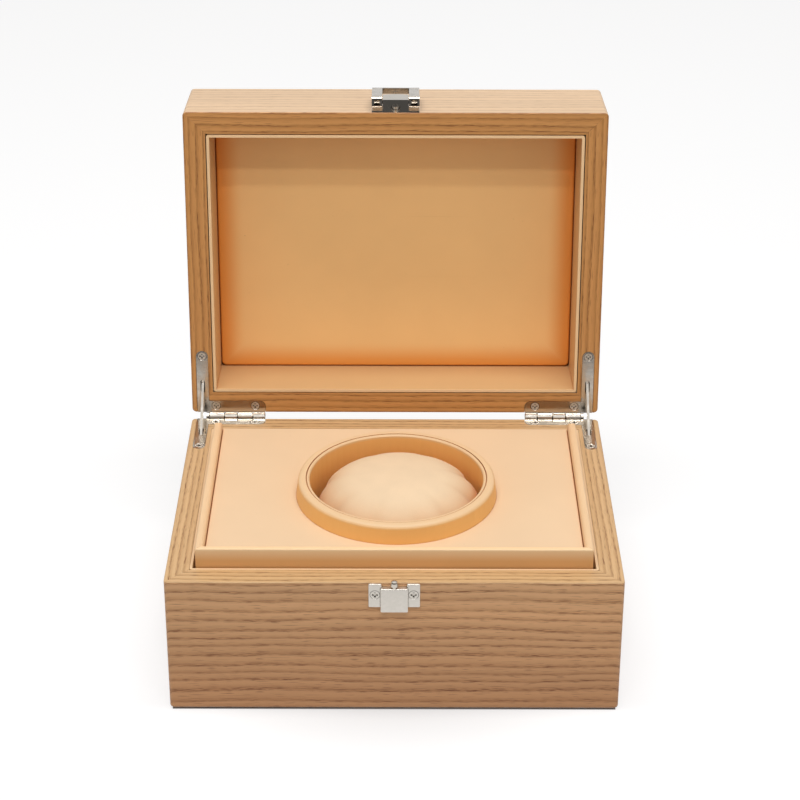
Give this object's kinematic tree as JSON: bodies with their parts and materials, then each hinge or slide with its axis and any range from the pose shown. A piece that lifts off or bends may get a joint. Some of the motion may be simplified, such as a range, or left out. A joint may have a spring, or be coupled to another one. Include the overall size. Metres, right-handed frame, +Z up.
{
  "type": "wooden watch box",
  "caption": "Veneered wooden box with a hinged lid held by slotted corner stays, a raised lined tray with a round padded well and cushion, and a swing latch.",
  "frame": {"origin": "the middle of the box's underside, on the surface that it stands on", "axes": "+Z up, -Y out of the box's front, where the latch is, +X to the right seen from the front"},
  "size_m": [0.2, 0.2185, 0.2271],
  "materials": {
    "veneer": "straight-grained oak-like veneer, satin lacquer",
    "board": "plain board",
    "leatherette": "smooth apricot leatherette",
    "suede": "fine satin suede",
    "felt": "dark felt",
    "nickel": "polished nickel",
    "satin_nickel": "satin nickel"
  },
  "bodies": {
    "base": {"base_front_wall": "veneer", "base_rear_wall": "veneer", "base_left_wall": "veneer", "base_right_wall": "veneer", "base_bottom_panel": "board", "base_felt": "felt", "base_liner": "leatherette", "tray_front_board": "leatherette", "tray_left_board": "leatherette", "tray_right_board": "leatherette", "tray_rear_board": "leatherette", "tray_platform": "leatherette", "well_collar": "leatherette", "well_band": "leatherette", "well_floor": "board", "base_latch_plate": "satin_nickel", "base_latch_stub": "satin_nickel", "base_latch_screw_left": "nickel", "base_latch_screw_right": "nickel", "base_hinge_leaf_left": "nickel", "base_hinge_leaf_right": "nickel", "hinge_pin_left": "nickel", "hinge_pin_right": "nickel", "base_hinge_screw_left_1": "nickel", "base_hinge_screw_left_2": "nickel", "base_hinge_screw_left_3": "nickel", "base_hinge_screw_right_1": "nickel", "base_hinge_screw_right_2": "nickel", "base_hinge_screw_right_3": "nickel"},
    "lid": {"lid_front_wall": "veneer", "lid_rear_wall": "veneer", "lid_left_wall": "veneer", "lid_right_wall": "veneer", "lid_roof_panel": "veneer", "lid_liner": "leatherette", "lid_pad": "leatherette", "lid_hinge_leaf_left": "nickel", "lid_hinge_leaf_right": "nickel", "lid_hinge_screw_left_1": "nickel", "lid_hinge_screw_left_2": "nickel", "lid_hinge_screw_left_3": "nickel", "lid_hinge_screw_right_1": "nickel", "lid_hinge_screw_right_2": "nickel", "lid_hinge_screw_right_3": "nickel", "stay_pin_left": "nickel", "stay_pin_right": "nickel", "lid_latch_block": "nickel", "lid_latch_pin_left": "nickel", "lid_latch_pin_right": "nickel", "lid_latch_screw_left": "nickel", "lid_latch_screw_right": "nickel"},
    "left_stay": {"stay_left": "nickel"},
    "right_stay": {"stay_right": "nickel"},
    "latch_frame": {"latch_frame": "nickel"},
    "cushion": {"cushion": "suede"}
  },
  "joints": [
    {"name": "lid_hinge", "type": "hinge", "parent": "base", "child": "lid", "pos_m": [0, 0.0779, 0.0668], "axis": [1, 0, 0], "range_deg": [0, 95.5]},
    {"name": "left_stay_pivot", "type": "hinge", "parent": "lid", "child": "left_stay", "pos_m": [-0.0945, 0.08236, 0.08395], "axis": [1, 0, 0], "range_deg": [-48, 0]},
    {"name": "right_stay_pivot", "type": "hinge", "parent": "lid", "child": "right_stay", "pos_m": [0.0945, 0.08236, 0.08395], "axis": [1, 0, 0], "range_deg": [-48, 0]},
    {"name": "latch_swing", "type": "hinge", "parent": "lid", "child": "latch_frame", "pos_m": [0, 0.09644, 0.22385], "axis": [1, 0, 0], "range_deg": [0, 183]},
    {"name": "cushion_lift", "type": "slide", "parent": "base", "child": "cushion", "axis": [0, 0, 1], "range_m": [0, 0.015]}
  ],
  "couplings": [
    {"joint": "left_stay_pivot", "follows": "lid_hinge", "ratio": -0.5},
    {"joint": "right_stay_pivot", "follows": "lid_hinge", "ratio": -0.5}
  ]
}
